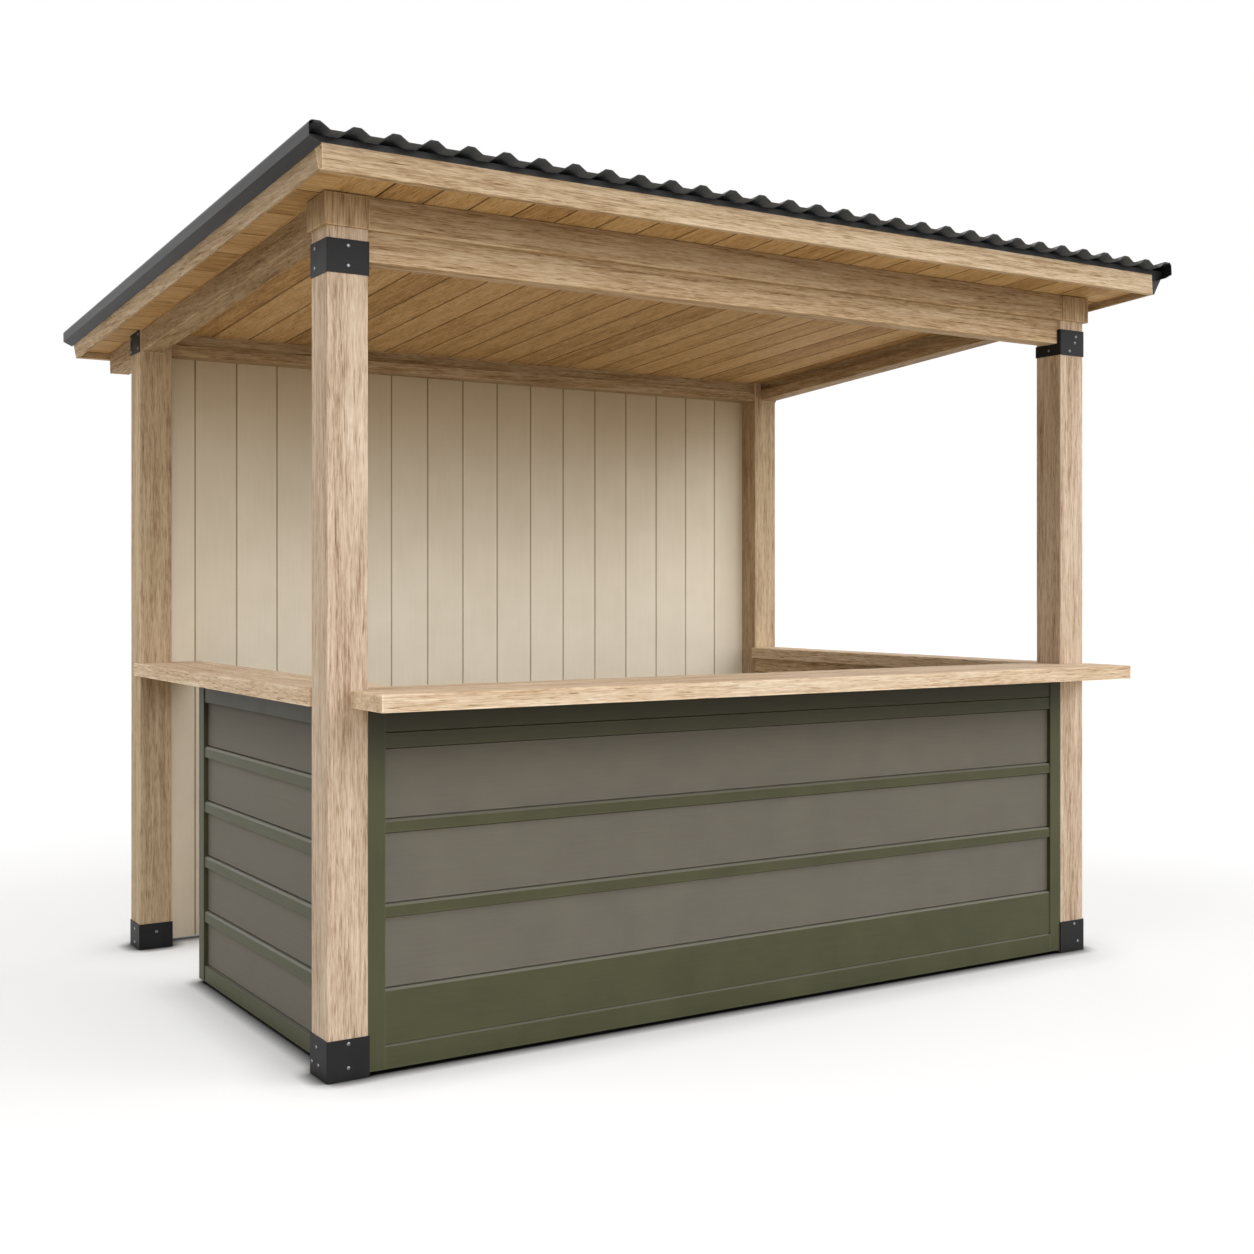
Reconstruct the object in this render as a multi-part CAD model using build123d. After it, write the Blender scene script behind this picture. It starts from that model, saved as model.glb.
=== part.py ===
from build123d import *
from math import atan, cos, degrees, sin
import os

# Overall sizes in millimetres
stall_width = 3000        # over the outer faces of the posts
stall_depth = 2000        # over the outer faces of the posts
soffit_height = 2446      # underside of the ceiling at the front of the posts
roof_fall_share = 0.064   # fall of the roof to the back for each unit of run
overrun = 50              # how far a cutting block runs past what it cuts

# Posts, their steel shoes and their top brackets
post_side = 120
post_eased = 3
steel_plate = 3
plate_bend = 4
shoe_base = 5
shoe_height = 115
rear_shoe_height = 95
bracket_height = 94
bracket_shelf_drop = 42   # how far the front brackets reach below the header
rear_bracket_height = 76  # at the backs of the posts

# Beams that carry the roof
plate_height = 93         # at the front faces of the posts
header_height = 85
header_setback = 15
beam_thickness = 76
plate_proud = 7
shadow_gap = 4            # between the front timbers and the ceiling boards
cap_proud = 14
timber_eased = 2
rafter_setback = 9        # from the outer faces of the posts
rafter_height = 80
rafter_rebate_width = 12
rafter_rebate_height = 38
rear_beam_height = 84
rear_beam_setback = 7
rear_rebate_width = 12
rear_rebate_height = 44

# Ceiling, fascias and roof sheet
ceiling_thickness = 20
ceiling_board_width = 143
verge_board_width = 233
groove_width = 7
groove_depth = 5
front_eave = 234
rear_eave = 378
fascia_thickness = 22
fascia_drop = 25
sheet_seat = 64           # height of the sheet's troughs over the ceiling's underside
barge_inner_offset = 107
barge_top_width = 25
barge_foot_width = 10
batten_width = 60
batten_row_shares = (0.3, 0.7)
sheet_side_overhang = 135   # from the posts' outer faces to the middle of the outer ribs
rib_pitch = 109
rib_height = 17
rib_crest = 22
rib_flank = 24
rib_bend = 9
sheet_gauge = 3
sheet_nose = 46
sheet_tail = 22
flashing_gauge = 2
flashing_drop = 44
flashing_lap = 34
flashing_reveal = 14
flashing_bend = 13
flashing_return = 33
flashing_return_fall = 16
drip_gauge = 2
drip_drop = 17
drip_lap = 16

# Counters
counter_height = 1075
counter_thickness = 48
counter_eased = 3
front_overhang = 210
front_counter_back_depth = 10   # how far the front counter runs past the backs of the posts
front_counter_left_setback = 70   # from the left faces of the posts to the counter's left end
front_right_proud = 15
side_proud = 8
side_post_lap = 50
left_counter_width = 258
right_counter_width = 148
apron_height = 64
apron_thickness = 22
apron_setback = 24

# Panels under the counters
panel_gap = 12
panel_depth = 45
panel_inset = 44          # side panels sit back from the posts' outer faces
left_panel_length = 1180
stile_width = 52
stile_setback = 2
rail_setback = 5
rail_height = 36
rail_chamfer = 6
board_setback = 18
board_thickness = 16
board_line = 4            # shadow line along the upper and lower edges of the boards
board_line_depth = 8
front_top_rail = 117
front_top_groove = 42
front_rail_count = 2
front_bottom_rail = 223
plinth_height = 66
plinth_setback = 2
side_top_rail = 60
side_rail_count = 4
side_bottom_rail = 52
bead_width = 4

# Back wall
wall_thickness = 20
wall_gap = 10
wall_board_width = 165

# Lines and planes worked out from the sizes above
half_width = stall_width / 2
outer_rib = half_width + sheet_side_overhang
rib_count = round(outer_rib * 2 / rib_pitch) + 1
rib_step = outer_rib * 2 / (rib_count - 1)
fall_angle = atan(roof_fall_share)
crest_height = sheet_seat + rib_height + sheet_gauge
flashing_top = crest_height + flashing_gauge
flashing_foot = flashing_top - flashing_drop
flashing_outside = outer_rib + rib_crest / 2 + flashing_reveal
flashing_inside = flashing_outside - flashing_gauge
sheet_front = -front_eave - sheet_nose
sheet_back = stall_depth + rear_eave + sheet_tail
run_middle = (sheet_front + sheet_back) / 2 * cos(fall_angle)
flashing_low = flashing_foot - flashing_return_fall
lift_middle = (flashing_low + flashing_top) / 2 * sin(fall_angle)
post_front = -run_middle - lift_middle
post_back = post_front + stall_depth
rear_post_front = post_back - post_side
front_post_back = post_front + post_side
left_inner = -half_width + post_side
right_inner = half_width - post_side
seam_height = soffit_height - plate_height
header_bottom = seam_height - header_height
bracket_bottom = header_bottom - bracket_shelf_drop
counter_under = counter_height - counter_thickness
roof_frame = Pos(0, post_front, soffit_height) * Rot(-degrees(fall_angle), 0, 0)


def soffit_at(y):
    """Height of the ceiling's underside at a place from front to back."""
    return soffit_height - roof_fall_share * (y - post_front)


def block(x, y, z):
    """Box between the low and high value given for each axis."""
    size = Box(x[1] - x[0], y[1] - y[0], z[1] - z[0])
    return Pos((x[0] + x[1]) / 2, (y[0] + y[1]) / 2, (z[0] + z[1]) / 2) * size


def along_x(outline, x):
    """Bar whose section is drawn in Y and Z."""
    face = make_face(Polyline(*outline, close=True))
    return extrude(Plane.YZ.offset(x[0]) * face, amount=x[1] - x[0])


def along_y(outline, y):
    """Bar whose section is drawn in X and Z."""
    face = make_face(Polyline(*outline, close=True))
    return extrude(Plane.XZ.offset(-y[0]) * face, amount=y[0] - y[1])


def along_z(outline, z):
    """Slab whose outline is drawn in X and Y."""
    face = make_face(Polyline(*outline, close=True))
    return extrude(Plane.XY.offset(z[0]) * face, amount=z[1] - z[0])


def boarded_edge(start, end, board_width, depth):
    """Line of a face boarded from its far end, the first board cut to fit, with a groove at each joint."""
    joints = []
    joint = end - board_width
    while joint > start + groove_width:
        joints.append(joint)
        joint -= board_width
    line = [(start, 0)]
    for middle in reversed(joints):
        line.append((middle - groove_width / 2, 0))
        line.append((middle - groove_width / 4, depth))
        line.append((middle + groove_width / 4, depth))
        line.append((middle + groove_width / 2, 0))
    line.append((end, 0))
    return line


def other_side(solid):
    """The same piece on the right-hand side."""
    return mirror(solid, about=Plane.YZ)


def eased(solid, length_axis):
    """The same timber with its lower long edges eased."""
    return chamfer(solid.edges().filter_by(length_axis).group_by(Axis.Z)[0], timber_eased)


def folded(solid, corners, middle):
    """The same steel plate with a bend at each upright corner."""
    uprights = solid.edges().filter_by(Axis.Z)
    return fillet([uprights.sort_by_distance((x, y, middle))[0] for x, y in corners], plate_bend)


pieces = {}
roof_space = roof_frame * block(
    (-stall_width, stall_width), (-stall_depth, stall_depth + stall_depth), (0, soffit_height)
)


# Front posts, with the vertical edges eased
def front_post():
    post = block((-half_width, left_inner), (post_front, front_post_back), (shoe_base, seam_height))
    return chamfer(post.edges().filter_by(Axis.Z), post_eased)


pieces["front_left_post"] = front_post()
pieces["front_right_post"] = other_side(front_post())


# Rear posts, cut to the ceiling and notched for the rafter that passes over them
def rear_post():
    post = block((-half_width, left_inner), (rear_post_front, post_back), (shoe_base, soffit_height))
    post = chamfer(post.edges().filter_by(Axis.Z), post_eased)
    notch = roof_frame * block(
        (-half_width + rafter_setback, -half_width + rafter_setback + beam_thickness),
        (0, stall_depth + overrun),
        (-rafter_height, soffit_height),
    )
    return post - roof_space - notch


pieces["rear_left_post"] = rear_post()
pieces["rear_right_post"] = other_side(rear_post())


# Post shoes: a base plate with flanges turned up the open faces of the post
def shoe(y, height, open_front, open_back):
    base_x = (-half_width - steel_plate, left_inner + steel_plate)
    base_y = (y[0] - steel_plate, y[1] + steel_plate)
    front_cut = overrun if open_front else 0
    back_cut = overrun if open_back else 0
    cut_x = (-half_width, left_inner + overrun)
    cut_y = (y[0] - front_cut, y[1] + back_cut)
    plates = block(base_x, base_y, (0, height)) - block(cut_x, cut_y, (shoe_base, height + overrun))
    corners = []
    if not open_front:
        corners.append((base_x[0], base_y[0]))
    if not open_back:
        corners.append((base_x[0], base_y[1]))
    return folded(plates, corners, height / 2)


front_y = (post_front, front_post_back)
rear_y = (rear_post_front, post_back)
pieces["front_left_shoe"] = shoe(front_y, shoe_height, False, True)
pieces["front_right_shoe"] = other_side(shoe(front_y, shoe_height, False, True))
pieces["rear_left_shoe"] = shoe(rear_y, rear_shoe_height, False, False)
pieces["rear_right_shoe"] = other_side(shoe(rear_y, rear_shoe_height, True, False))


# Front brackets: a collar open to the back, its inner flange cut down under the header
def front_bracket():
    bracket_z = (bracket_bottom, bracket_bottom + bracket_height)
    past_z = (bracket_bottom - overrun, bracket_bottom + bracket_height + overrun)
    collar_x = (-half_width - steel_plate, left_inner + steel_plate)
    collar = block(collar_x, (post_front - steel_plate, front_post_back), bracket_z)
    post_room = block((-half_width, left_inner), (post_front, front_post_back + overrun), past_z)
    header_room = block(
        (left_inner, left_inner + overrun),
        (post_front + header_setback, front_post_back + overrun),
        (header_bottom, past_z[1]),
    )
    corners = [(x, post_front - steel_plate) for x in collar_x]
    return folded(collar - post_room - header_room, corners, bracket_bottom + bracket_height / 2)


pieces["front_left_bracket"] = front_bracket()
pieces["front_right_bracket"] = other_side(front_bracket())


# Rear brackets: a flat plate that ties the rafter to the outer face of the post
def rear_bracket():
    plate_z = (soffit_at(post_back) - rear_bracket_height, soffit_height)
    plate = block((-half_width - steel_plate, -half_width), (rear_post_front, post_back), plate_z)
    return plate - roof_space


pieces["rear_left_bracket"] = rear_bracket()
pieces["rear_right_bracket"] = other_side(rear_bracket())


# Caps on the front posts, proud of the posts and cut to the slope of the ceiling
def post_cap():
    cap_front = post_front - cap_proud
    section = [
        (cap_front, seam_height),
        (front_post_back, seam_height),
        (front_post_back, soffit_at(front_post_back) - shadow_gap),
        (cap_front, soffit_at(cap_front) - shadow_gap),
    ]
    cap = along_x(section, (-half_width - cap_proud, left_inner))
    return chamfer(cap.edges().filter_by(Axis.Z), timber_eased)


pieces["front_left_cap"] = post_cap()
pieces["front_right_cap"] = other_side(post_cap())

# Front plate between the caps, rebated under the ceiling, over the header between the posts
plate_front = post_front - plate_proud
plate_back = plate_front + beam_thickness
plate_rebate = plate_front + shadow_gap
plate_section = [
    (plate_front, seam_height),
    (plate_back, seam_height),
    (plate_back, soffit_at(plate_back)),
    (plate_rebate, soffit_at(plate_rebate)),
    (plate_rebate, soffit_at(plate_rebate) - shadow_gap),
    (plate_front, soffit_at(plate_front) - shadow_gap),
]
pieces["front_plate"] = eased(along_x(plate_section, (left_inner, right_inner)), Axis.X)
header_front = post_front + header_setback
header = block(
    (left_inner, right_inner), (header_front, header_front + beam_thickness), (header_bottom, seam_height)
)
pieces["front_header"] = eased(header, Axis.X)


# Rafters from the front caps to the rear fascia, rebated along both upper edges
def rafter():
    outer = -half_width + rafter_setback
    inner = outer + beam_thickness
    section = [
        (outer, -rafter_height),
        (inner, -rafter_height),
        (inner, -rafter_rebate_height),
        (inner - rafter_rebate_width, -rafter_rebate_height),
        (inner - rafter_rebate_width, 0),
        (outer + shadow_gap, 0),
        (outer + shadow_gap, -shadow_gap),
        (outer, -shadow_gap),
    ]
    tail = stall_depth + rear_eave - fascia_thickness
    bar = roof_frame * eased(along_y(section, (0, tail)), Axis.Y)
    cut_x = (outer - overrun, inner + overrun)
    front_cut = block(cut_x, (post_front - overrun, front_post_back), (seam_height, soffit_height))
    return bar - front_cut


pieces["left_rafter"] = rafter()
pieces["right_rafter"] = other_side(rafter())

# Rear beam between the rear posts, stepped on its inner face
wall_front = post_back - wall_thickness
rear_beam_front = rear_post_front + rear_beam_setback
rear_beam_bottom = soffit_at(rear_beam_front) - rear_beam_height
rear_step = rear_beam_bottom + rear_beam_height - rear_rebate_height
rear_upper_front = rear_beam_front + rear_rebate_width
rear_section = [
    (rear_beam_front, rear_beam_bottom),
    (wall_front, rear_beam_bottom),
    (wall_front, soffit_at(wall_front)),
    (rear_upper_front, soffit_at(rear_upper_front)),
    (rear_upper_front, rear_step),
    (rear_beam_front, rear_step),
]
pieces["rear_beam"] = eased(along_x(rear_section, (left_inner, right_inner)), Axis.X)

# Ceiling of grooved boards that run from front to back and carry on under both eaves
ceiling_front = -front_eave + fascia_thickness
ceiling_back = stall_depth + rear_eave - fascia_thickness
ceiling_outline = boarded_edge(-half_width, half_width, ceiling_board_width, groove_depth)
ceiling_outline += [(half_width, ceiling_thickness), (-half_width, ceiling_thickness)]
pieces["ceiling"] = roof_frame * along_y(ceiling_outline, (ceiling_front, ceiling_back))


# Verge soffits of short boards across the side eaves
def verge_soffit():
    outline = boarded_edge(ceiling_front, ceiling_back, verge_board_width, groove_depth)
    outline += [(ceiling_back, ceiling_thickness), (ceiling_front, ceiling_thickness)]
    return roof_frame * along_x(outline, (-half_width - barge_inner_offset, -half_width))


pieces["left_verge_soffit"] = verge_soffit()
pieces["right_verge_soffit"] = other_side(verge_soffit())

# Fascias along the front and the back, between the bargeboards
fascia_x = (-half_width - barge_inner_offset, half_width + barge_inner_offset)
front_fascia = block(fascia_x, (-front_eave, ceiling_front), (-fascia_drop, sheet_seat - drip_gauge))
rear_fascia = block(fascia_x, (ceiling_back, ceiling_back + fascia_thickness), (-fascia_drop, sheet_seat))
pieces["front_fascia"] = roof_frame * eased(front_fascia, Axis.X)
pieces["rear_fascia"] = roof_frame * eased(rear_fascia, Axis.X)


# Bargeboards down the sloping sides, tapered to a narrow foot
def bargeboard():
    inner = -half_width - barge_inner_offset
    section = [
        (inner, -fascia_drop),
        (inner, sheet_seat),
        (inner - barge_top_width, sheet_seat),
        (inner - barge_foot_width, -fascia_drop),
    ]
    return roof_frame * eased(along_y(section, (-front_eave, stall_depth + rear_eave)), Axis.Y)


pieces["left_bargeboard"] = bargeboard()
pieces["right_bargeboard"] = other_side(bargeboard())

# Battens on the ceiling that carry the troughs of the roof sheet
ceiling_run = ceiling_back - ceiling_front
battens = []
for row_share in batten_row_shares:
    batten_front = ceiling_front + row_share * ceiling_run - batten_width / 2
    batten_y = (batten_front, batten_front + batten_width)
    battens.append(roof_frame * block((-half_width, half_width), batten_y, (ceiling_thickness, sheet_seat)))
pieces["roof_battens"] = Compound(children=battens)


# Ribbed roof sheet: one bent line of crests, flanks and troughs, given the sheet's gauge
def ribbed_line():
    corners = []
    trough = sheet_seat + sheet_gauge
    for rib in range(rib_count):
        middle = -outer_rib + rib * rib_step
        if rib > 0:
            corners.append((middle - rib_crest / 2 - rib_flank, trough))
        corners.append((middle - rib_crest / 2, crest_height))
        corners.append((middle + rib_crest / 2, crest_height))
        if rib < rib_count - 1:
            corners.append((middle + rib_crest / 2 + rib_flank, trough))
    return corners


upper_line = FilletPolyline(*ribbed_line(), radius=rib_bend)
lower_line = Pos(0, -sheet_gauge) * upper_line
sheet_ends = [Line(upper_line @ 0, lower_line @ 0), Line(upper_line @ 1, lower_line @ 1)]
sheet_face = make_face(upper_line.edges() + lower_line.edges() + sheet_ends)
sheet_plane = Plane.XZ.offset(-sheet_front)
pieces["roof_sheet"] = roof_frame * extrude(sheet_plane * sheet_face, amount=sheet_front - sheet_back)


# Verge flashings: a bent cap on the outer crest that drops outside the bargeboard and turns in to it
def flashing():
    outer = -flashing_outside
    lap_end = outer + flashing_lap
    return_end = outer + flashing_return
    path = FilletPolyline(
        (lap_end, flashing_top),
        (outer, flashing_top),
        (outer, flashing_foot),
        radius=flashing_bend,
    )
    inside = FilletPolyline(
        (lap_end, crest_height),
        (outer + flashing_gauge, crest_height),
        (outer + flashing_gauge, flashing_foot + flashing_gauge),
        radius=flashing_bend - flashing_gauge,
    )
    foot = Polyline(
        path @ 1, (return_end, flashing_low), (return_end, flashing_low + flashing_gauge), inside @ 1
    )
    face = make_face(path.edges() + inside.edges() + foot.edges() + [Line(path @ 0, inside @ 0)])
    return roof_frame * extrude(Plane.XZ.offset(-sheet_front) * face, amount=sheet_front - sheet_back)


# End plate that covers the front end of a bargeboard and closes the gap to its flashing
def flashing_end():
    barge_inner = -half_width - barge_inner_offset
    plate = [
        (barge_inner, sheet_seat),
        (-flashing_inside, sheet_seat),
        (-flashing_inside, flashing_foot),
        (barge_inner - barge_foot_width / 2, -fascia_drop),
        (barge_inner, -fascia_drop),
    ]
    return roof_frame * along_y(plate, (-front_eave - flashing_gauge, -front_eave))


pieces["left_flashing"] = flashing()
pieces["right_flashing"] = other_side(flashing() + flashing_end())

# Drip edge folded over the top of the front fascia, under the sheet, and run on to the left flashing
drip_front = -front_eave - drip_gauge
drip_foot = sheet_seat - drip_drop
drip_section = [
    (drip_front, sheet_seat),
    (drip_front, drip_foot),
    (-front_eave, drip_foot),
    (-front_eave, sheet_seat - drip_gauge),
    (-front_eave + drip_lap, sheet_seat - drip_gauge),
    (-front_eave + drip_lap, sheet_seat),
]
drip_end = block((-flashing_inside, fascia_x[0]), (drip_front, -front_eave), (drip_foot, sheet_seat))
pieces["front_drip_edge"] = roof_frame * (along_x(drip_section, fascia_x) + drip_end)


# Counters, cut round the posts and with the top edges eased
def counter(outline):
    slab = along_z(outline, (counter_under, counter_height))
    return chamfer(slab.faces().sort_by(Axis.Z)[-1].edges(), counter_eased)


front_counter_back = front_post_back + front_counter_back_depth
pieces["front_counter"] = counter([
    (-half_width + front_counter_left_setback, post_front - front_overhang),
    (half_width + front_right_proud, post_front - front_overhang),
    (half_width + front_right_proud, post_front),
    (right_inner, post_front),
    (right_inner, front_counter_back),
    (left_inner, front_counter_back),
    (left_inner, post_front),
    (-half_width + front_counter_left_setback, post_front),
])
left_outer = -half_width - side_proud
left_counter_inner = left_outer + left_counter_width
left_counter_back = rear_post_front + side_post_lap
pieces["left_counter"] = counter([
    (left_outer, front_post_back),
    (left_inner, front_post_back),
    (left_inner, front_counter_back),
    (left_counter_inner, front_counter_back),
    (left_counter_inner, left_counter_back),
    (left_inner, left_counter_back),
    (left_inner, rear_post_front),
    (-half_width, rear_post_front),
    (-half_width, left_counter_back),
    (left_outer, left_counter_back),
])
right_outer = half_width + side_proud
right_counter_inner = right_outer - right_counter_width
pieces["right_counter"] = counter([
    (right_outer, front_post_back),
    (right_outer, rear_post_front),
    (right_counter_inner, rear_post_front),
    (right_counter_inner, front_counter_back),
    (right_inner, front_counter_back),
    (right_inner, front_post_back),
])

# Apron board under the inner edge of the right counter
apron_inner = right_counter_inner + apron_setback
pieces["right_apron"] = block(
    (apron_inner, apron_inner + apron_thickness),
    (front_post_back, rear_post_front),
    (counter_under - apron_height, counter_under),
)


# Panels: drawn along X with the outer side to the front, from the floor gap to the counter
def panel_stiles(length):
    stile_y = (stile_setback, panel_depth)
    stile_z = (panel_gap, counter_under)
    near = block((0, stile_width), stile_y, stile_z)
    far = block((length - stile_width, length), stile_y, stile_z)
    return [near, far]


def middle_rail(length, bottom):
    section = [
        (rail_setback, bottom),
        (panel_depth, bottom),
        (panel_depth, bottom + rail_height),
        (rail_setback + rail_chamfer, bottom + rail_height),
        (rail_setback, bottom + rail_height - rail_chamfer),
    ]
    return along_x(section, (stile_width, length - stile_width))


def panel_boards(length, levels):
    line_back = board_setback + board_line_depth
    board_back = board_setback + board_thickness
    boards = []
    for low, high in levels:
        section = [
            (line_back, low),
            (board_back, low),
            (board_back, high),
            (line_back, high),
            (line_back, high - board_line),
            (board_setback, high - board_line),
            (board_setback, low + board_line),
            (line_back, low + board_line),
        ]
        boards.append(along_x(section, (stile_width, length - stile_width)))
    return boards


def board_levels(low, high, rails):
    """Low and high edges of the boards that fill a panel between its rails."""
    board = (high - low - rails * rail_height) / (rails + 1)
    step = board + rail_height
    return [(low + step * row, low + step * row + board) for row in range(rails + 1)]


def front_top_rail_solid(length):
    low = counter_under - front_top_rail
    bead = low + front_top_groove
    section = [
        (rail_setback, low),
        (panel_depth, low),
        (panel_depth, counter_under),
        (rail_setback, counter_under),
        (rail_setback, bead + bead_width),
        (rail_setback + bead_width, bead),
        (rail_setback, bead),
    ]
    return along_x(section, (stile_width, length - stile_width))


def front_bottom_rail_solid(length):
    plinth_top = panel_gap + plinth_height
    high = panel_gap + front_bottom_rail
    section = [
        (plinth_setback, panel_gap),
        (panel_depth, panel_gap),
        (panel_depth, high),
        (rail_setback + rail_chamfer, high),
        (rail_setback, high - rail_chamfer),
        (rail_setback, plinth_top + bead_width),
        (rail_setback + bead_width, plinth_top + bead_width),
        (rail_setback + bead_width, plinth_top),
        (plinth_setback, plinth_top - bead_width),
    ]
    return along_x(section, (stile_width, length - stile_width))


# Front panel between the front posts
front_length = right_inner - left_inner
front_place = Pos(left_inner, post_front, 0)
front_levels = board_levels(panel_gap + front_bottom_rail, counter_under - front_top_rail, front_rail_count)
front_rail_solids = [front_top_rail_solid(front_length), front_bottom_rail_solid(front_length)]
for level in front_levels[1:]:
    front_rail_solids.append(middle_rail(front_length, level[0] - rail_height))
pieces["front_panel_stiles"] = front_place * Compound(children=panel_stiles(front_length))
pieces["front_panel_rails"] = front_place * Compound(children=front_rail_solids)
pieces["front_panel_boards"] = front_place * Compound(children=panel_boards(front_length, front_levels))

# Side panels: the left one stops short of the rear post, the right one fills its side
side_levels = board_levels(panel_gap + side_bottom_rail, counter_under - side_top_rail, side_rail_count)
left_panel_end = front_post_back + left_panel_length
right_panel_length = rear_post_front - front_post_back
side_places = {
    "left": (Pos(-half_width + panel_inset, left_panel_end, 0) * Rot(0, 0, -90), left_panel_length),
    "right": (Pos(half_width - panel_inset, front_post_back, 0) * Rot(0, 0, 90), right_panel_length),
}
for side, (place, length) in side_places.items():
    rail_x = (stile_width, length - stile_width)
    rail_y = (rail_setback, panel_depth)
    side_rail_solids = [
        block(rail_x, rail_y, (counter_under - side_top_rail, counter_under)),
        block(rail_x, rail_y, (panel_gap, panel_gap + side_bottom_rail)),
    ]
    for level in side_levels[1:]:
        side_rail_solids.append(middle_rail(length, level[0] - rail_height))
    pieces[side + "_panel_stiles"] = place * Compound(children=panel_stiles(length))
    pieces[side + "_panel_rails"] = place * Compound(children=side_rail_solids)
    pieces[side + "_panel_boards"] = place * Compound(children=panel_boards(length, side_levels))

# Back wall of upright boards between the rear posts, grooved on both faces
inner_edge = boarded_edge(left_inner, right_inner, wall_board_width, groove_depth)
outer_edge = [(x, wall_thickness - y) for x, y in reversed(inner_edge)]
wall_outline = [(x, wall_front + y) for x, y in inner_edge + outer_edge]
pieces["back_wall"] = along_z(wall_outline, (wall_gap, soffit_height)) - roof_space

# Write one file for each piece
os.makedirs("parts", exist_ok=True)
for name, solid in pieces.items():
    export_step(solid, "parts/" + name + ".step")
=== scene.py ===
import math

import bmesh
import bpy
from mathutils import Matrix, Vector


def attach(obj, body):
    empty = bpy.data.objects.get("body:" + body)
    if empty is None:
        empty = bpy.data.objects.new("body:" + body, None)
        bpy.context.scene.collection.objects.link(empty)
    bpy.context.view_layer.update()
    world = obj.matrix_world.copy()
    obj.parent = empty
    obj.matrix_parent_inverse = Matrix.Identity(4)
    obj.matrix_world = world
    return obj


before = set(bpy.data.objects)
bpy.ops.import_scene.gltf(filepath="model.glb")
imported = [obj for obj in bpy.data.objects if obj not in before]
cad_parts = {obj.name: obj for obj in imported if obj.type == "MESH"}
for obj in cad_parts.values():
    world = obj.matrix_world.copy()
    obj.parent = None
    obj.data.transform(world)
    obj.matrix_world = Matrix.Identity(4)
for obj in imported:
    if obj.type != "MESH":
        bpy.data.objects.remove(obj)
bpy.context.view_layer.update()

# Post shoes: one under each post, folded from 3 mm steel plate and welded to a base plate.
# They are powder coated black and screwed to the posts through their flanges.
mm = 0.001
shoe_black = "#0d0d0e"
shoe_worn = "#171718"
weak_shine = 0.25


def linear(colour):
    """An sRGB hex colour as the linear values that a shader takes."""
    shares = [int(colour[place : place + 2], 16) / 255 for place in (1, 3, 5)]
    curved = [share / 12.92 if share <= 0.04045 else ((share + 0.055) / 1.055) ** 2.4 for share in shares]
    return (*curved, 1.0)


def add(tree, kind, settings=None, links=None):
    """Adds a node, with its properties and inputs set by name or number, and its inputs linked."""
    node = tree.nodes.new(kind)
    for key, value in (settings or {}).items():
        if isinstance(key, str) and hasattr(node, key):
            setattr(node, key, value)
        else:
            node.inputs[key].default_value = value
    for key, source in (links or {}).items():
        tree.links.new(source, node.inputs[key])
    return node


def new_finish(name):
    """A material with its node tree, its shader and the piece's own coordinates."""
    material = bpy.data.materials.new(name)
    material.use_nodes = True
    tree = material.node_tree
    place = add(tree, "ShaderNodeTexCoord").outputs["Object"]
    return material, tree, tree.nodes["Principled BSDF"], place


def dress(names, material):
    """Gives the shaped pieces their finish."""
    for name in names:
        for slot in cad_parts[name].material_slots:
            slot.material = material


# Powder coat on steel: a dull black skin with the slight ripple of baked powder, rubbed paler in patches.
# The ripple is about 1 mm across, and is drawn at 4 mm to show.
powder_coat, tree, shader, place = new_finish("black_powder_coat")
ripple = add(tree, "ShaderNodeTexNoise", {"Scale": 1 / (4 * mm), "Detail": 1}, {"Vector": place})
rubbing = add(
    tree, "ShaderNodeTexNoise", {"Scale": 1 / (55 * mm), "Detail": 4, "Roughness": 0.65}, {"Vector": place}
)
rubbed = add(
    tree, "ShaderNodeMapRange", {"From Min": 0.42, "From Max": 0.72}, {"Value": rubbing.outputs["Fac"]}
)
black = add(
    tree,
    "ShaderNodeMix",
    {"data_type": "RGBA", 6: linear(shoe_black), 7: linear(shoe_worn)},
    {0: rubbed.outputs["Result"]},
)
dullness = add(
    tree, "ShaderNodeMapRange", {"To Min": 0.45, "To Max": 0.62}, {"Value": rubbing.outputs["Fac"]}
)
skin = add(
    tree, "ShaderNodeBump", {"Strength": 0.15, "Distance": 0.3 * mm}, {"Height": ripple.outputs["Fac"]}
)
shader.inputs["Specular IOR Level"].default_value = weak_shine
tree.links.new(black.outputs[2], shader.inputs["Base Color"])
tree.links.new(dullness.outputs["Result"], shader.inputs["Roughness"])
tree.links.new(skin.outputs["Normal"], shader.inputs["Normal"])
dress(["front_left_shoe", "front_right_shoe", "rear_left_shoe", "rear_right_shoe"], powder_coat)

# Screws: pan-head steel screws, 11 mm across, with a star socket, driven through the plates into the posts.
# The head is pressed cold to a low dome, with the socket punched into it.
head_width = 11 * mm
head_sides = 12
rim_height = 1.2 * mm
rim_taper = 0.3 * mm
dome_rings = ((1.4 * mm, 0.9 * mm), (1.2 * mm, 0.3 * mm))
valley_share = 0.6
socket_taper = 0.1 * mm
socket_depth = 1.9 * mm
shape = bmesh.new()
bmesh.ops.create_cone(
    shape,
    cap_ends=True,
    segments=head_sides,
    radius1=head_width / 2,
    radius2=head_width / 2 - rim_taper,
    depth=rim_height,
    matrix=Matrix.Translation((0, 0, rim_height / 2)),
)
crown = max(shape.faces, key=lambda face: face.calc_center_median().z)
for ring_width, ring_rise in dome_rings:
    bmesh.ops.inset_individual(shape, faces=[crown], thickness=ring_width, depth=ring_rise)
socket_valleys = list(crown.verts)[::2]
bmesh.ops.scale(shape, vec=(valley_share, valley_share, 1), verts=socket_valleys)
bmesh.ops.inset_individual(shape, faces=[crown], thickness=socket_taper, depth=-socket_depth)
screw_head = bpy.data.meshes.new("screw_head")
shape.to_mesh(screw_head)
shape.free()

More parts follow.
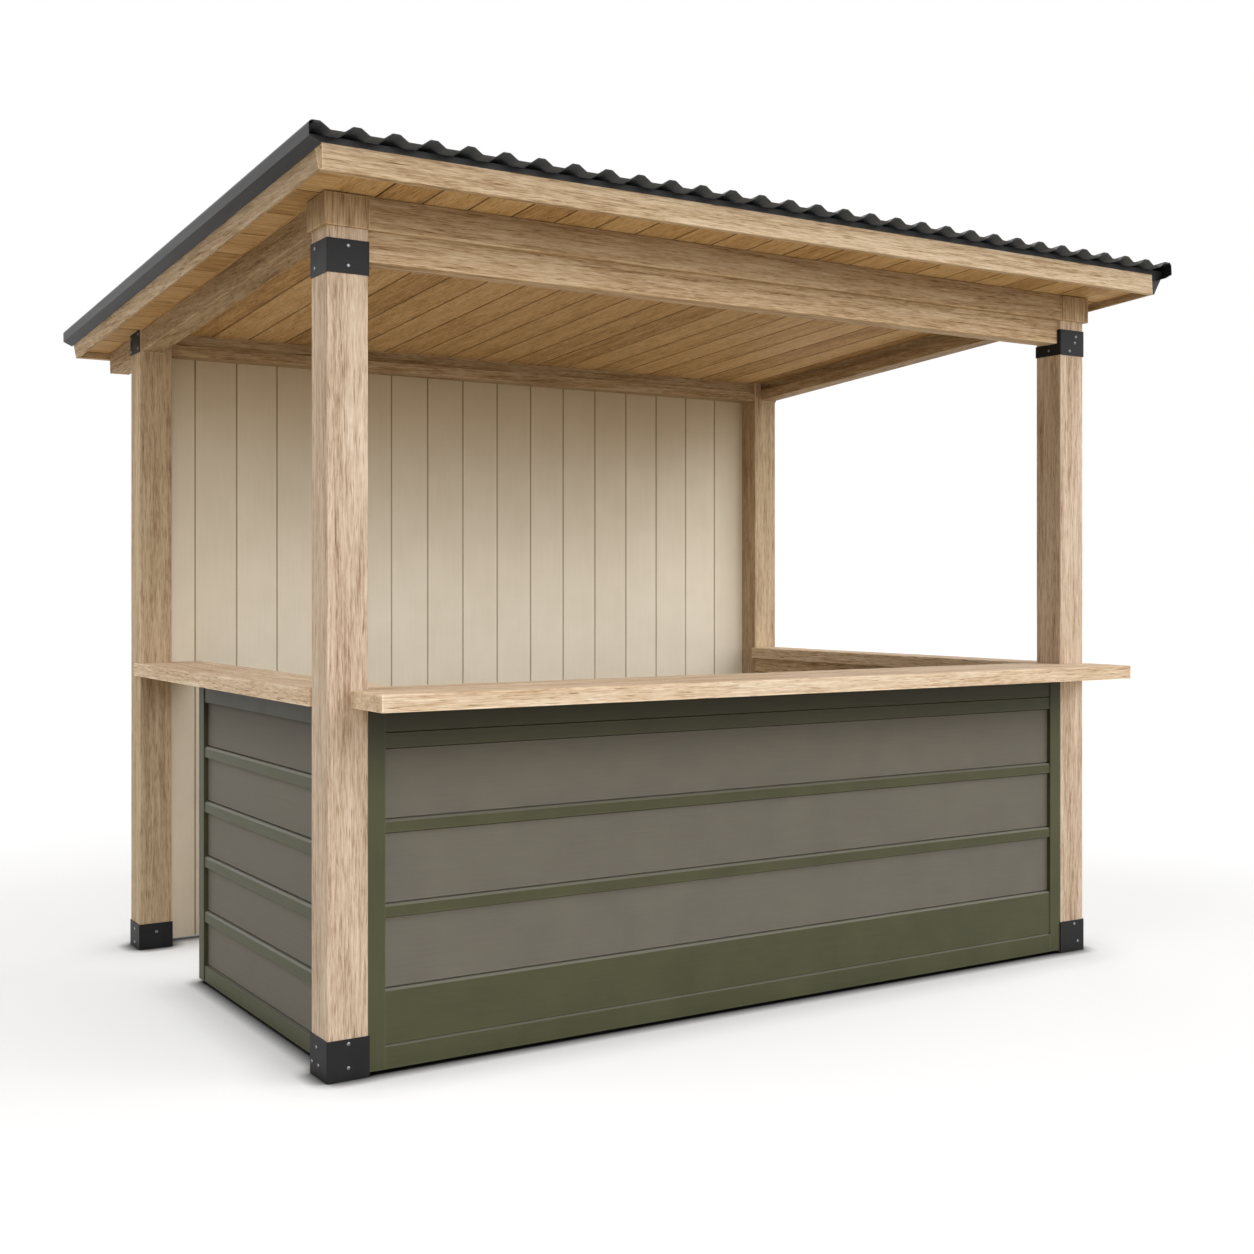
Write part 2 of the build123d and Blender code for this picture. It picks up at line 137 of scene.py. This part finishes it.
# Zinc-plated steel: bright grey metal, dulled unevenly where the plating has clouded.
zinc_dull = "#63646a"
zinc_bright = "#9a9b9f"
zinc_plate, tree, shader, place = new_finish("zinc_plated_steel")
cloud = add(tree, "ShaderNodeTexNoise", {"Scale": 1 / (6 * mm), "Detail": 2}, {"Vector": place})
plating = add(
    tree,
    "ShaderNodeMix",
    {"data_type": "RGBA", 6: linear(zinc_dull), 7: linear(zinc_bright)},
    {0: cloud.outputs["Fac"]},
)
dullness = add(tree, "ShaderNodeMapRange", {"To Min": 0.2, "To Max": 0.4}, {"Value": cloud.outputs["Fac"]})
shader.inputs["Metallic"].default_value = 1
tree.links.new(plating.outputs[2], shader.inputs["Base Color"])
tree.links.new(dullness.outputs["Result"], shader.inputs["Roughness"])

front = Vector((0, -1, 0))
back = Vector((0, 1, 0))
left = Vector((-1, 0, 0))
right = Vector((1, 0, 0))


def drive_screws(name, rows):
    """One piece of screw heads: each row has the way it faces and its places, in millimetres."""
    shape = bmesh.new()
    for facing, spots in rows:
        turn = facing.to_track_quat("Z", "Y").to_matrix().to_4x4()
        for spot in spots:
            before = len(shape.verts)
            shape.from_mesh(screw_head)
            shape.verts.ensure_lookup_table()
            bmesh.ops.transform(
                shape, matrix=Matrix.Translation(Vector(spot) * mm) @ turn, verts=shape.verts[before:]
            )
    mesh = bpy.data.meshes.new(name)
    shape.to_mesh(mesh)
    shape.free()
    mesh.materials.append(zinc_plate)
    piece = bpy.data.objects.new(name, mesh)
    bpy.context.collection.objects.link(piece)
    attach(piece, "root")


# Sizes and places are in millimetres. The screws were set one by one, so not all of them line up.
post_face = -1061.41
post_size = 120
stall_depth = 2000
half_width = 1500
plate = 3
rear_face = post_face + stall_depth - post_size
outer = half_width + plate
post_middle = half_width - post_size / 2
shoe_front = post_face - plate
rear_front = rear_face - plate
rear_back = post_face + stall_depth + plate
front_shoe_side = ((75, 84), (60, 37), (108, 37))
rear_shoe_side = ((57, 71), (57, 20))
drive_screws(
    "front_left_shoe_screws",
    [
        (front, [(-post_middle, shoe_front, 102), (-post_middle, shoe_front, 35)]),
        (left, [(-outer, post_face + y, z) for y, z in front_shoe_side]),
    ],
)
drive_screws(
    "front_right_shoe_screws",
    [
        (front, [(1450, shoe_front, 102), (1468, shoe_front, 35)]),
        (right, [(outer, post_face + y, z) for y, z in front_shoe_side]),
    ],
)
drive_screws(
    "rear_left_shoe_screws",
    [
        (front, [(-1438, rear_front, 63)]),
        (left, [(-outer, rear_face + y, z) for y, z in rear_shoe_side]),
        (back, [(-post_middle, rear_back, 71), (-post_middle, rear_back, 20)]),
    ],
)
drive_screws(
    "rear_right_shoe_screws",
    [
        (right, [(outer, rear_face + y, z) for y, z in rear_shoe_side]),
        (back, [(post_middle, rear_back, 71), (post_middle, rear_back, 20)]),
    ],
)

# Posts: four square oak posts, planed, their long edges eased, standing in the shoes.
# Left bare, they have weathered a little, so the soft wood between the grain stands back.
# Tones are the pale, middle and dark of the grain, which runs along an axis.
post_tones = ("#e2d1bd", "#c9b39d", "#967b60")
# The rear posts' tones are darker, as painted shade under the roof.
rear_painted_shade_tones = ("#d4c1a3", "#bda587", "#8d7152")
check_shade = "#a88d6c"
# Painted shade, deepening colours with height up under the roof.
roof_painted_shade = "#a89f93"
# Painted shade in the ceiling's board joints, drawn wider than the joints.
joint_shade = "#5f5346"
# Outer edges are paler, from wear and a painted highlight.
edge_reach = 6 * mm
edge_wear_and_highlight = 1.3
sideways = 0
front_to_back = 1
upwards = 2


def count_boards(tree, place, boards):
    """For boards side by side: a chance value for each, and a mask of the joints between them.

    They are given by the axis across them, their first edge, their width and the width of a joint's shade.
    """
    across, first_edge, pitch, joint_width = boards
    apart = add(tree, "ShaderNodeSeparateXYZ", {}, {"Vector": place})
    along_row = add(
        tree, "ShaderNodeMath", {"operation": "SUBTRACT", 1: first_edge}, {0: apart.outputs[across]}
    )
    in_boards = add(
        tree, "ShaderNodeMath", {"operation": "DIVIDE", 1: pitch}, {0: along_row.outputs["Value"]}
    )
    number = add(tree, "ShaderNodeMath", {"operation": "FLOOR"}, {0: in_boards.outputs["Value"]})
    chance = add(
        tree, "ShaderNodeTexWhiteNoise", {"noise_dimensions": "1D"}, {"W": number.outputs["Value"]}
    )
    from_joint = add(
        tree, "ShaderNodeMath", {"operation": "PINGPONG", 1: 0.5}, {0: in_boards.outputs["Value"]}
    )
    joint = add(
        tree,
        "ShaderNodeMapRange",
        {"From Min": joint_width / 2 / pitch, "From Max": 0},
        {"Value": from_joint.outputs["Value"]},
    )
    return chance, joint.outputs["Result"]


def deepened(tree, colour, shade, share):
    """The colour, with a share of a deeper shade over it."""
    return add(
        tree,
        "ShaderNodeMix",
        {"data_type": "RGBA", "blend_type": "MULTIPLY", 7: linear(shade)},
        {0: share, 6: colour},
    ).outputs[2]


def shaded_by_height(tree, place, colour, shade, span):
    """Painted shade: the colour, deeper with height over a span, up under the roof or a counter."""
    low, high = span
    apart = add(tree, "ShaderNodeSeparateXYZ", {}, {"Vector": place})
    covered = add(
        tree,
        "ShaderNodeMapRange",
        {"interpolation_type": "SMOOTHSTEP", "From Min": low, "From Max": high},
        {"Value": apart.outputs["Z"]},
    )
    return deepened(tree, colour, shade, covered.outputs["Result"])


def worn_and_highlit_edges(tree, colour, gain):
    """The colour, paler along the outer edges, from wear by knocks and weather and a painted highlight."""
    inward = add(
        tree,
        "ShaderNodeAmbientOcclusion",
        {"samples": 2, "inside": True, "only_local": True, "Distance": edge_reach},
    )
    edge = add(
        tree, "ShaderNodeMapRange", {"From Min": 0.95, "From Max": 0.55}, {"Value": inward.outputs["AO"]}
    )
    return add(
        tree,
        "ShaderNodeMix",
        {"data_type": "RGBA", "blend_type": "MULTIPLY", 7: (gain, gain, gain, 1)},
        {0: edge.outputs["Result"], 6: colour},
    ).outputs[2]


def oak(name, grain, tones, boards=None, span=None):
    """Planed oak with its grain along an axis, and where boards lie side by side, a pattern for each."""
    material, tree, shader, spot = new_finish(name)
    pale, warm, dark = tones
    place = spot
    if boards:
        # Each board takes its figure from another place, up to 9 m off.
        far_off = (9, 9, 9)
        chance, joint = count_boards(tree, place, boards)
        place = add(
            tree,
            "ShaderNodeVectorMath",
            {"operation": "MULTIPLY_ADD", 1: far_off},
            {0: chance.outputs["Color"], 2: place},
        ).outputs["Vector"]
    # Width, length, detail and share in the tone: slow bands, streaks between growth rings, and fibres.
    # Fibres are under a millimetre wide, and are drawn at 3 mm to show.
    tone = None
    patterns = ((45, 600, 3, 0.5), (8, 170, 3, 0.6), (3, 45, 3, 0.65))
    middling = 0.5 - 0.5 * sum(share for _, _, _, share in patterns)
    for width, length, detail, share in patterns:
        size = [width * mm] * 3
        size[grain] = length * mm
        stretched = add(
            tree, "ShaderNodeMapping", {"Scale": [1 / side for side in size]}, {"Vector": place}
        )
        figure = add(
            tree,
            "ShaderNodeTexNoise",
            {"Scale": 1, "Detail": detail, "Roughness": 0.65, "Distortion": 0.3},
            {"Vector": stretched.outputs["Vector"]},
        )
        step = add(
            tree,
            "ShaderNodeMath",
            {"operation": "MULTIPLY_ADD", 1: share, 2: middling},
            {0: figure.outputs["Fac"]},
        )
        if tone:
            tree.links.new(tone, step.inputs[2])
        tone = step.outputs["Value"]
    if boards:
        board_contrast = 0.2
        off_middle = add(
            tree, "ShaderNodeMath", {"operation": "SUBTRACT", 1: 0.5}, {0: chance.outputs["Value"]}
        )
        tone = add(
            tree,
            "ShaderNodeMath",
            {"operation": "MULTIPLY_ADD", 1: board_contrast},
            {0: off_middle.outputs["Value"], 2: tone},
        ).outputs["Value"]
    wood = add(tree, "ShaderNodeValToRGB", {}, {"Fac": tone})
    stops = wood.color_ramp.elements
    stops[0].position = 0.28
    stops[0].color = linear(dark)
    stops[1].position = 0.72
    stops[1].color = linear(pale)
    middle = stops.new(0.5)
    middle.color = linear(warm)
    # Checks: dark hairline cracks along the grain, drawn 3 mm wide to show.
    check_width = 3 * mm
    check_length = 80 * mm
    size = [check_width] * 3
    size[grain] = check_length
    stretched = add(tree, "ShaderNodeMapping", {"Scale": [1 / side for side in size]}, {"Vector": place})
    cracks = add(
        tree, "ShaderNodeTexNoise", {"Scale": 1, "Detail": 1}, {"Vector": stretched.outputs["Vector"]}
    )
    checked = add(
        tree,
        "ShaderNodeMapRange",
        {"From Min": 0.65, "From Max": 0.73, "To Max": 0.9},
        {"Value": cracks.outputs["Fac"]},
    )
    coloured = deepened(tree, wood.outputs["Color"], check_shade, checked.outputs["Result"])
    finished = worn_and_highlit_edges(tree, coloured, edge_wear_and_highlight)
    # Painted shade in the joints between boards.
    if boards:
        finished = deepened(tree, finished, joint_shade, joint)
    if span:
        # Painted shade: the wood grows browner with height, up under the roof.
        finished = shaded_by_height(tree, spot, finished, roof_painted_shade, span)
    dullness = add(tree, "ShaderNodeMapRange", {"To Min": 0.8, "To Max": 0.55}, {"Value": tone})
    relief = add(tree, "ShaderNodeBump", {"Strength": 0.3, "Distance": 0.5 * mm}, {"Height": tone})
    shader.inputs["Specular IOR Level"].default_value = weak_shine
    tree.links.new(finished, shader.inputs["Base Color"])
    tree.links.new(dullness.outputs["Result"], shader.inputs["Roughness"])
    tree.links.new(relief.outputs["Normal"], shader.inputs["Normal"])
    return material


# Oak: a pale brown wood with fine straight grain.
# The rear posts stand further under the roof, and take darker tones as painted shade.
dress(["front_left_post", "front_right_post"], oak("weathered_oak_post", upwards, post_tones))
dress(["rear_left_post", "rear_right_post"], oak("oak_rear_post_painted_shade", upwards, rear_painted_shade_tones))

# Corner brackets: a collar of folded steel plate round each front post under the header,
# and a flat plate at the head of each rear post, coated and screwed on as the shoes are.
dress(
    ["front_left_bracket", "front_right_bracket", "rear_left_bracket", "rear_right_bracket"],
    powder_coat,
)
collar_rows = (2303, 2248)
collar_side = post_face + 87
collar_inside = half_width - post_size - plate
rear_plate_spots = ((1892, 2312), (1892, 2258), (1988, 2304), (1988, 2255))
drive_screws(
    "front_left_bracket_screws",
    [
        (front, [(-post_middle, shoe_front, row) for row in collar_rows]),
        (left, [(-outer, collar_side, row) for row in collar_rows]),
    ],
)
drive_screws(
    "front_right_bracket_screws",
    [
        (front, [(1459, shoe_front, 2297), (1453, shoe_front, 2274), (1425, shoe_front, 2242)]),
        (right, [(outer, collar_side, row) for row in collar_rows]),
        (left, [(collar_inside, post_face + 55, 2247)]),
    ],
)
for name, facing in (("rear_left_bracket_screws", left), ("rear_right_bracket_screws", right)):
    drive_screws(name, [(facing, [(facing.x * outer, post_face + y, z) for y, z in rear_plate_spots])])

# Front beam: short oak caps on the posts, with the plate between them over a header.
# The plate and the header are two planed boards, one on the other, with a fine seam.
# Painted shade makes them browner with height towards the ceiling, over a span in metres.
beam_tones = ("#e4d0b4", "#c8ac89", "#88673f")
front_span = (2.225, 2.565)
dress(["front_left_cap", "front_right_cap"], oak("oak_post_cap", upwards, beam_tones, span=front_span))
dress(["front_plate", "front_header"], oak("oak_front_beam", sideways, beam_tones, span=front_span))

# Rafters and rear beam: oak beams from the front posts to the rear ones and across the back.
# Their tails are cut square, and the ceiling boards are nailed on top.
# Painted shade deepens the rafters and rear beam with height over this span, in metres.
inner_span = (1.95, 2.65)
dress(["left_rafter", "right_rafter"], oak("oak_rafter", front_to_back, beam_tones, span=inner_span))
dress(["rear_beam", "roof_battens"], oak("oak_rear_beam", sideways, beam_tones, span=inner_span))

# Ceiling: tongued oak boards laid from front to back on the beams, with a V joint between boards.
# The verges outside the rafters have short boards laid across. Each board has a tone of its own.
# The joints are 7 mm wide, and their shade is drawn at 13 mm to show.
ceiling_tones = ("#d9b888", "#c59f6c", "#9b7748")
ceiling_boards = (sideways, -1.503, 143 * mm, 13 * mm)
verge_boards = (front_to_back, -1.2685, 232.5 * mm, 13 * mm)
dress(["ceiling"], oak("oak_ceiling_boards", front_to_back, ceiling_tones, ceiling_boards))
dress(
    ["left_verge_soffit", "right_verge_soffit"],
    oak("oak_verge_boards", sideways, ceiling_tones, verge_boards),
)

# Fascias and bargeboards: planed oak boards nailed round the edge of the roof.
# They hide the ends of the ceiling boards and battens.
edge_tones = ("#dfccb2", "#c4ab8b", "#8d6e48")
# Painted shade deepens the bargeboards with height over this span, in metres.
verge_span = (2.1, 2.8)
dress(["front_fascia", "rear_fascia"], oak("oak_fascia", sideways, edge_tones))
dress(
    ["left_bargeboard", "right_bargeboard"],
    oak("oak_bargeboard", front_to_back, edge_tones, span=verge_span),
)

# Roof: sheet steel rolled to round ribs, with folded flashings down both verges and a drip edge in front.
# It is coated dark grey in the coil, before it is rolled.
coat_dark = "#171718"
coat_pale = "#222223"
# The underside's grey: its primer, and painted light under the sheet.
backing_and_underlight_grey = "#585e66"


def coil_coat(name, backed_and_underlit=False):
    """Matt coat on steel, with faint marks drawn down the slope by the rolls and rain."""
    material, tree, shader, place = new_finish(name)
    mark_width = 25 * mm
    mark_length = 400 * mm
    drawn = add(
        tree,
        "ShaderNodeMapping",
        {"Scale": (1 / mark_width, 1 / mark_length, 1 / mark_width)},
        {"Vector": place},
    )
    dust = add(tree, "ShaderNodeTexNoise", {"Scale": 1, "Detail": 4}, {"Vector": drawn.outputs["Vector"]})
    grain = add(tree, "ShaderNodeTexNoise", {"Scale": 1 / (5 * mm), "Detail": 1}, {"Vector": place})
    colour = add(
        tree,
        "ShaderNodeMix",
        {"data_type": "RGBA", 6: linear(coat_dark), 7: linear(coat_pale)},
        {0: dust.outputs["Fac"]},
    )
    if backed_and_underlit:
        # Backing coat and painted light: the underside of the sheet has a paler grey primer, left as it
        # came, made pale as light on it.
        lie = add(tree, "ShaderNodeNewGeometry")
        upright = add(tree, "ShaderNodeSeparateXYZ", {}, {"Vector": lie.outputs["Normal"]})
        under = add(
            tree,
            "ShaderNodeMapRange",
            {"From Min": -0.05, "From Max": -0.3},
            {"Value": upright.outputs["Z"]},
        )
        colour = add(
            tree,
            "ShaderNodeMix",
            {"data_type": "RGBA", 7: linear(backing_and_underlight_grey)},
            {0: under.outputs["Result"], 6: colour.outputs[2]},
        )
    dullness = add(
        tree, "ShaderNodeMapRange", {"To Min": 0.4, "To Max": 0.55}, {"Value": dust.outputs["Fac"]}
    )
    skin = add(
        tree, "ShaderNodeBump", {"Strength": 0.1, "Distance": 0.3 * mm}, {"Height": grain.outputs["Fac"]}
    )
    shader.inputs["Specular IOR Level"].default_value = weak_shine
    tree.links.new(colour.outputs[2], shader.inputs["Base Color"])
    tree.links.new(dullness.outputs["Result"], shader.inputs["Roughness"])
    tree.links.new(skin.outputs["Normal"], shader.inputs["Normal"])
    return material


# Coil coat: a smooth dark grey paint with a low shine, dusty in long faint streaks.
dress(["roof_sheet"], coil_coat("anthracite_coil_coat_sheet", backed_and_underlit=True))
dress(["left_flashing", "right_flashing", "front_drip_edge"], coil_coat("anthracite_coil_coat"))

# Back wall: upright softwood boards with grooved joints, nailed to the rear beam.
# They are painted cream with a brush, board by board.
cream_pale = "#ede3d0"
cream_dark = "#e5dac5"
# Painted shade at the top of the wall, under the roof.
cream_painted_shade = "#cbbda3"
# Dirt and painted shade in the wall's board joints.
joint_dirt_and_shade = "#a39884"
wall_boards = (sideways, -1.425, 165 * mm, 7 * mm)
wall_span = (1.8, 2.5)


def brushed_coat(name, grain, pale, dark, mark_width, dull, shade, span, gain, boards=None, ledge_dust_and_light=None):
    """Paint or stain laid on by brush, with a tone of its own for each board, and dust with painted light
    on upward ledges.
    """
    material, tree, shader, place = new_finish(name)
    mark_stretch = 45
    size = [mark_width] * 3
    size[grain] = mark_width * mark_stretch
    brushed = add(tree, "ShaderNodeMapping", {"Scale": [1 / side for side in size]}, {"Vector": place})
    marks = add(
        tree, "ShaderNodeTexNoise", {"Scale": 1, "Detail": 3}, {"Vector": brushed.outputs["Vector"]}
    )
    cloud = add(tree, "ShaderNodeTexNoise", {"Scale": 1 / (140 * mm), "Detail": 3}, {"Vector": place})
    mark_share = 0.6
    cover = add(
        tree,
        "ShaderNodeMath",
        {"operation": "MULTIPLY_ADD", 1: mark_share},
        {0: marks.outputs["Fac"], 2: cloud.outputs["Fac"]},
    ).outputs["Value"]
    if boards:
        board_share = 0.25
        chance, joint = count_boards(tree, place, boards)
        cover = add(
            tree,
            "ShaderNodeMath",
            {"operation": "MULTIPLY_ADD", 1: board_share},
            {0: chance.outputs["Value"], 2: cover},
        ).outputs["Value"]
    share = add(tree, "ShaderNodeMapRange", {"From Min": 0.55, "From Max": 1.15}, {"Value": cover})
    colour = add(
        tree,
        "ShaderNodeMix",
        {"data_type": "RGBA", 6: linear(dark), 7: linear(pale)},
        {0: share.outputs["Result"]},
    )
    # Painted shade deepens it up under a roof or counter; edges are paler from wear and a painted
    # highlight.
    colour_shaded_by_height = shaded_by_height(tree, place, colour.outputs[2], shade, span)
    finished = worn_and_highlit_edges(tree, colour_shaded_by_height, gain)
    # Dirt and painted shade in the joints between boards.
    if boards:
        finished = deepened(tree, finished, joint_dirt_and_shade, joint)
    # Dust and painted light: faces turned up are paler, as if lit from above.
    if ledge_dust_and_light:
        lie = add(tree, "ShaderNodeNewGeometry")
        upright = add(tree, "ShaderNodeSeparateXYZ", {}, {"Vector": lie.outputs["Normal"]})
        facing_up = add(
            tree, "ShaderNodeMapRange", {"From Min": 0.3, "From Max": 0.6}, {"Value": upright.outputs["Z"]}
        )
        finished = add(
            tree,
            "ShaderNodeMix",
            {"data_type": "RGBA", 7: linear(ledge_dust_and_light)},
            {0: facing_up.outputs["Result"], 6: finished},
        ).outputs[2]
    uneven = 0.08
    dullness = add(
        tree,
        "ShaderNodeMapRange",
        {"To Min": dull - uneven, "To Max": dull + uneven},
        {"Value": cloud.outputs["Fac"]},
    )
    ridges = add(
        tree, "ShaderNodeBump", {"Strength": 0.12, "Distance": 0.3 * mm}, {"Height": marks.outputs["Fac"]}
    )
    shader.inputs["Specular IOR Level"].default_value = weak_shine
    tree.links.new(finished, shader.inputs["Base Color"])
    tree.links.new(dullness.outputs["Result"], shader.inputs["Roughness"])
    tree.links.new(ridges.outputs["Normal"], shader.inputs["Normal"])
    return material


# Cream paint: a chalky off-white, with long upright brush marks. Up under the roof it is darker and
# yellower, as painted shade.
# Brush marks are about 1 mm wide, and are drawn at 6 mm here and 4 mm on the panels to show.
cream_paint = brushed_coat(
    "cream_paint",
    grain=upwards,
    pale=cream_pale,
    dark=cream_dark,
    mark_width=6 * mm,
    dull=0.6,
    shade=cream_painted_shade,
    span=wall_span,
    gain=1.1,
    boards=wall_boards,
)
dress(["back_wall"], cream_paint)

# Counter panels: frames of olive stiles and rails, with boards stained grey let in between them.
# Rails and stiles are planed softwood, screwed together from the back.
# Ledges take dust and painted light, painted shade darkens them up under the counter, and edges are worn
# and painted paler.
olive_pale = "#4c4d35"
olive_dark = "#41422c"
# Dust and painted light on the rails' upward ledges.
olive_dust_and_light = "#68665a"
grey_pale = "#6e6a60"
grey_dark = "#656158"
# Painted shade for the panels up under the counter, their edge wear and highlight, and brush-mark width.
panel_shade_wear_and_marks = {"shade": "#a59e92", "span": (0.75, 1.05), "gain": 1.35, "mark_width": 4 * mm}
# Olive paint: a satin green with brush marks along each rail and stile.
olive = {"pale": olive_pale, "dark": olive_dark, "dull": 0.5, **panel_shade_wear_and_marks}
# Grey stain: a thin matt stain that lets faint grain through along each board.
grey = {"pale": grey_pale, "dark": grey_dark, "dull": 0.65, **panel_shade_wear_and_marks}
for side, run in (("front", sideways), ("left", front_to_back), ("right", front_to_back)):
    stile_paint = brushed_coat("olive_paint_upright_" + side, grain=upwards, **olive)
    rail_paint = brushed_coat("olive_paint_along_" + side, grain=run, ledge_dust_and_light=olive_dust_and_light, **olive)
    board_stain = brushed_coat("grey_stain_" + side, grain=run, **grey)
    dress([side + "_panel_stiles"], stile_paint)
    dress([side + "_panel_rails"], rail_paint)
    dress([side + "_panel_boards"], board_stain)

# Counters: thick oak slabs on three sides, laid on the panels, their edges eased, oiled on top.
# An apron board runs under the inner edge of the right one.
counter_tones = ("#ecdcc6", "#d6bda0", "#a68662")
dress(["front_counter"], oak("oiled_oak_front_counter", sideways, counter_tones))
dress(["left_counter", "right_counter"], oak("oiled_oak_side_counter", front_to_back, counter_tones))
dress(["right_apron"], oak("oak_apron", front_to_back, beam_tones))

# Floor: a plain white studio sweep that keeps the stall's shadow.
# Straight to the eye it is lifted to the white of the surround.
half_sweep = 60
lift_tint = (0.94, 0.95, 0.97, 1)
floor_mesh = bpy.data.meshes.new("studio_floor")
shape = bmesh.new()
bmesh.ops.create_grid(shape, x_segments=1, y_segments=1, size=half_sweep)
shape.to_mesh(floor_mesh)
shape.free()
floor = bpy.data.objects.new("studio_floor", floor_mesh)
bpy.context.collection.objects.link(floor)
floor_paint, tree, shader, place = new_finish("matt_white_floor")
shader.inputs["Roughness"].default_value = 1
shader.inputs["Specular IOR Level"].default_value = 0
shader.inputs["Emission Color"].default_value = lift_tint


def seen_straight(tree):
    """One for rays straight from the eye, and for those mirrored or let through on the way."""
    path = add(tree, "ShaderNodeLightPath")
    mirrored = add(
        tree,
        "ShaderNodeMath",
        {"operation": "ADD"},
        {0: path.outputs["Is Camera Ray"], 1: path.outputs["Is Glossy Ray"]},
    )
    total = add(
        tree,
        "ShaderNodeMath",
        {"operation": "ADD", "use_clamp": True},
        {0: mirrored.outputs["Value"], 1: path.outputs["Is Transmission Ray"]},
    )
    return total.outputs["Value"]


# It is warm in the light that it throws back on the stall, and white to the eye.
floor_glow = (0.62, 0.56, 0.45, 1)
floor_white = (0.58, 0.57, 0.56, 1)
straight = seen_straight(tree)
paint = add(tree, "ShaderNodeMix", {"data_type": "RGBA", 6: floor_glow, 7: floor_white}, {0: straight})
# Close to the feet and panels a painted shadow deepens to a dark line.
foot_reach = 60 * mm
foot_fall = 2.5
close_by = add(tree, "ShaderNodeAmbientOcclusion", {"samples": 8, "Distance": foot_reach})
clear = add(tree, "ShaderNodeMath", {"operation": "POWER", 1: foot_fall}, {0: close_by.outputs["AO"]})
shaded = add(
    tree,
    "ShaderNodeMix",
    {"data_type": "RGBA", 6: (0, 0, 0, 1)},
    {0: clear.outputs["Value"], 7: paint.outputs[2]},
)
tree.links.new(shaded.outputs[2], shader.inputs["Base Color"])
# Further out the painted shadow stays soft, and the open floor is lifted to white.
floor_lift = 0.49
shadow_reach = 250 * mm
shadow_fall = 1.5
open_floor = add(tree, "ShaderNodeAmbientOcclusion", {"samples": 8, "Distance": shadow_reach})
depth = add(tree, "ShaderNodeMath", {"operation": "POWER", 1: shadow_fall}, {0: open_floor.outputs["AO"]})
openness = add(
    tree,
    "ShaderNodeMath",
    {"operation": "MULTIPLY"},
    {0: depth.outputs["Value"], 1: clear.outputs["Value"]},
)
in_the_open = add(
    tree, "ShaderNodeMath", {"operation": "MULTIPLY", 1: floor_lift}, {0: openness.outputs["Value"]}
)
lift = add(
    tree,
    "ShaderNodeMath",
    {"operation": "MULTIPLY"},
    {0: in_the_open.outputs["Value"], 1: straight},
)
tree.links.new(lift.outputs["Value"], shader.inputs["Emission Strength"])
floor.data.materials.append(floor_paint)

# Light: an even white surround, and soft lamps all round, the strongest from the front and the left.
# Each is a broad sheet of light far off, so it falls evenly over floor and stall.
surround_level = 0.04
world = bpy.data.worlds.new("studio")
bpy.context.scene.world = world
world.use_nodes = True
tree = world.node_tree
surround = tree.nodes["Background"]
level = add(
    tree, "ShaderNodeMapRange", {"To Min": surround_level, "To Max": 1}, {"Value": seen_straight(tree)}
)
surround.inputs["Color"].default_value = (1, 1, 1, 1)
tree.links.new(level.outputs["Result"], surround.inputs["Strength"])
# Turn from the front, rise over the floor and spread, in degrees, and strength.
lamps = {
    "front_low": (0, 16, 50, 1.5),
    "front_right": (35, 38, 50, 1.1),
    "left": (-100, 40, 60, 1.6),
    "right": (80, 40, 60, 1.3),
    "rear": (175, 35, 60, 0.6),
}
for name, (turn, rise, spread, energy) in lamps.items():
    lamp = bpy.data.lights.new(name, "SUN")
    lamp.energy = energy
    lamp.angle = math.radians(spread)
    holder = bpy.data.objects.new(name, lamp)
    holder.rotation_euler = (math.radians(90 - rise), 0, math.radians(turn))
    bpy.context.collection.objects.link(holder)

# A weak strip of light in the hatch, a little above the counter, opens up the wall behind it.
strip_width = 2.7
strip_height = 0.2
strip_spread = 45
strip_watts = 1.1
strip_place = (0, -0.85, 1.3)
hatch_lamp = bpy.data.lights.new("hatch", "AREA")
hatch_lamp.shape = "RECTANGLE"
hatch_lamp.size = strip_width
hatch_lamp.size_y = strip_height
hatch_lamp.spread = math.radians(strip_spread)
hatch_lamp.energy = strip_watts
hatch = bpy.data.objects.new("hatch", hatch_lamp)
hatch.location = strip_place
hatch.rotation_euler = (math.radians(90), 0, 0)
hatch.visible_camera = False
bpy.context.collection.objects.link(hatch)

# Camera: at eye height off the front left corner, level, so the posts stand upright in the picture.
sensor_mm = 36
lens_mm = 45.081
picture_shift = -0.03214
eye_place = (-3.1086, -5.1308, 1.3624)
eye_turn = -32.369
eye = bpy.data.cameras.new("camera")
eye.sensor_width = sensor_mm
eye.lens = lens_mm
eye.shift_y = picture_shift
camera = bpy.data.objects.new("camera", eye)
camera.location = eye_place
camera.rotation_euler = (math.radians(90), 0, math.radians(eye_turn))
bpy.context.collection.objects.link(camera)
bpy.context.scene.camera = camera
bpy.context.scene.view_settings.view_transform = "Standard"
